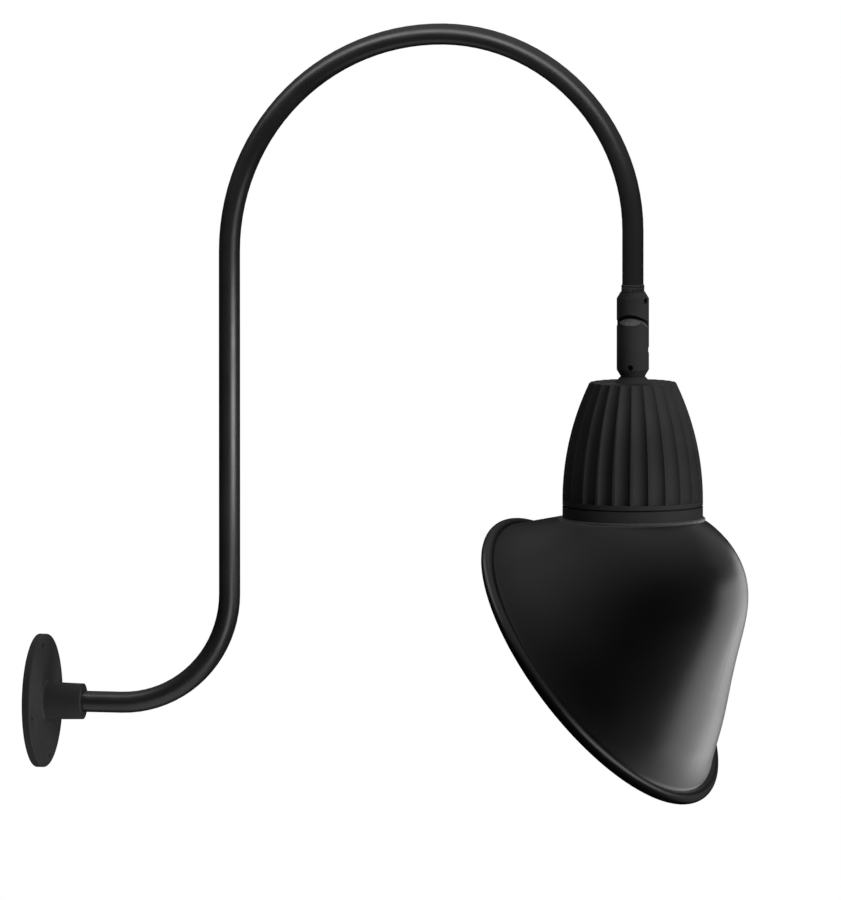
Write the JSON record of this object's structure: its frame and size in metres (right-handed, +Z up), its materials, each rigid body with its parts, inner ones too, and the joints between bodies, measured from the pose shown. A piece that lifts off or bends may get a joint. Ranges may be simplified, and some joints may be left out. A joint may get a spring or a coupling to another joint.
{
  "type": "gooseneck barn light",
  "caption": "Wall light with a round wall plate, an arched pipe arm and a fluted lamp head with a tilted cone shade, held by a swivel that turns and tilts.",
  "frame": {"origin": "centre of the wall plate's back face, on the wall and on the axis of the hub", "axes": "+X away from the wall, +Z up, and the arm lies in the XZ plane"},
  "size_m": [0.7304, 0.3398, 0.7757],
  "materials": {
    "arm_coat": "satin black powder coat on steel pipe",
    "plate_coat": "satin black powder coat on cast aluminium",
    "cast_coat": "fine-textured black powder coat on cast aluminium",
    "shade_coat": "gloss black powder coat outside and white inside, on spun aluminium",
    "bare_aluminium": "plain machined",
    "board_face": "white solder mask on an aluminium board",
    "black_screw": "black oxide steel",
    "bright_screw": "zinc plated",
    "ground_green": "green earth screw",
    "spring_steel": "spring steel",
    "seal_rubber": "matt black",
    "thermal_grey": "soft grey pad",
    "nylon": "dark nylon",
    "driver_case": "white potted case",
    "chip_yellow": "yellow phosphor",
    "lens_glass": "clear tempered glass"
  },
  "bodies": {
    "arm": {"wall_plate": "plate_coat", "plate_gasket": "seal_rubber", "hub_set_screws": "black_screw", "ground_screw": "ground_green", "gooseneck_arm": "arm_coat", "lock_ring": "arm_coat"},
    "swivel_upper": {"swivel_top": "cast_coat", "arm_set_screw": "black_screw"},
    "swivel_lower": {"swivel_bottom": "cast_coat", "pivot_screw": "black_screw", "pivot_washer": "nylon", "neck_set_screw": "black_screw"},
    "head": {"neck_nipple": "arm_coat", "heat_sink": "cast_coat", "carrier_plate": "bare_aluminium", "carrier_screws": "bright_screw", "driver": "driver_case", "driver_screws": "bright_screw", "thermal_pad": "thermal_grey", "lamp_board": "board_face", "light_chips": "chip_yellow", "board_screws": "bright_screw", "sink_gasket": "seal_rubber", "collar_ring": "cast_coat", "collar_screws": "black_screw", "lens_gasket": "seal_rubber", "lens": "lens_glass", "lens_snap_ring": "spring_steel", "shade": "shade_coat", "shade_clamp_ring": "bare_aluminium", "shade_screws": "bright_screw"}
  },
  "joints": [
    {"name": "swivel_turn", "type": "hinge", "parent": "arm", "child": "swivel_upper", "pos_m": [0.6135, 0, 0.4237], "axis": [0, 0, 1], "range_deg": [-90, 90]},
    {"name": "swivel_tilt", "type": "hinge", "parent": "swivel_upper", "child": "swivel_lower", "pos_m": [0.6135, 0, 0.3791], "axis": [0, 1, 0], "range_deg": [-85, 40]},
    {"name": "head_turn", "type": "hinge", "parent": "swivel_lower", "child": "head", "pos_m": [0.6135, 0, 0.3394], "axis": [0, 0, 1], "range_deg": [-170, 170]}
  ]
}
